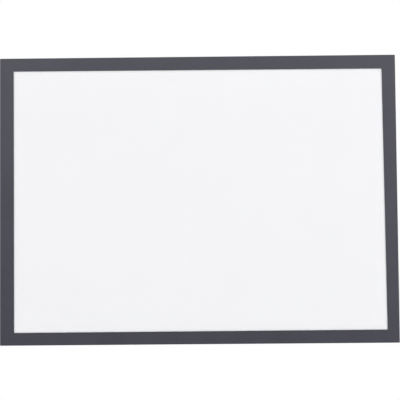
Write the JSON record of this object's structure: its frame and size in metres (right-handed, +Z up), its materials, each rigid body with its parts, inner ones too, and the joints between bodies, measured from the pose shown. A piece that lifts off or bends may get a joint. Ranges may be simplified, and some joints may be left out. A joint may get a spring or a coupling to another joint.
{
  "type": "magnetic document frame",
  "caption": "Thin landscape wall frame for an A3 sheet: magnet-backed film panel, and a bordered clear cover that lifts on a film hinge along the top edge.",
  "frame": {"origin": "middle of the plane of the rear magnets' wall side, which is the middle of the outline; the box's centre lies 1.85 mm in front of it", "axes": "+X to the right along the long side, +Z up, front facing -Y; the rear magnets lie in the plane y = 0"},
  "size_m": [0.445, 0.0037, 0.3221],
  "materials": {
    "rear_magnet": "matte",
    "back_film": "satin",
    "closing_strip": "satin",
    "backing_card": "matte",
    "paper": "matte",
    "hinge_film": "satin",
    "cover_magnet": "matte",
    "clear_film": "satin",
    "charcoal_foil": "satin"
  },
  "bodies": {
    "back": {"rear_magnet_top": "rear_magnet", "rear_magnet_bottom": "rear_magnet", "rear_magnet_left": "rear_magnet", "rear_magnet_right": "rear_magnet", "back_panel": "back_film", "closing_strip_bottom": "closing_strip", "closing_strip_left": "closing_strip", "closing_strip_right": "closing_strip", "backing_card": "backing_card", "document_sheet": "paper", "hinge_leaf_back": "hinge_film"},
    "cover": {"hinge_leaf_cover": "hinge_film", "cover_magnet_top": "cover_magnet", "cover_magnet_bottom": "cover_magnet", "cover_magnet_left": "cover_magnet", "cover_magnet_right": "cover_magnet", "window_film": "clear_film", "border_foil": "charcoal_foil"}
  },
  "joints": [
    {"name": "cover_hinge", "type": "hinge", "parent": "back", "child": "cover", "pos_m": [0, -0.0019, 0.1612], "axis": [-1, 0, 0], "range_deg": [0, 180]}
  ]
}
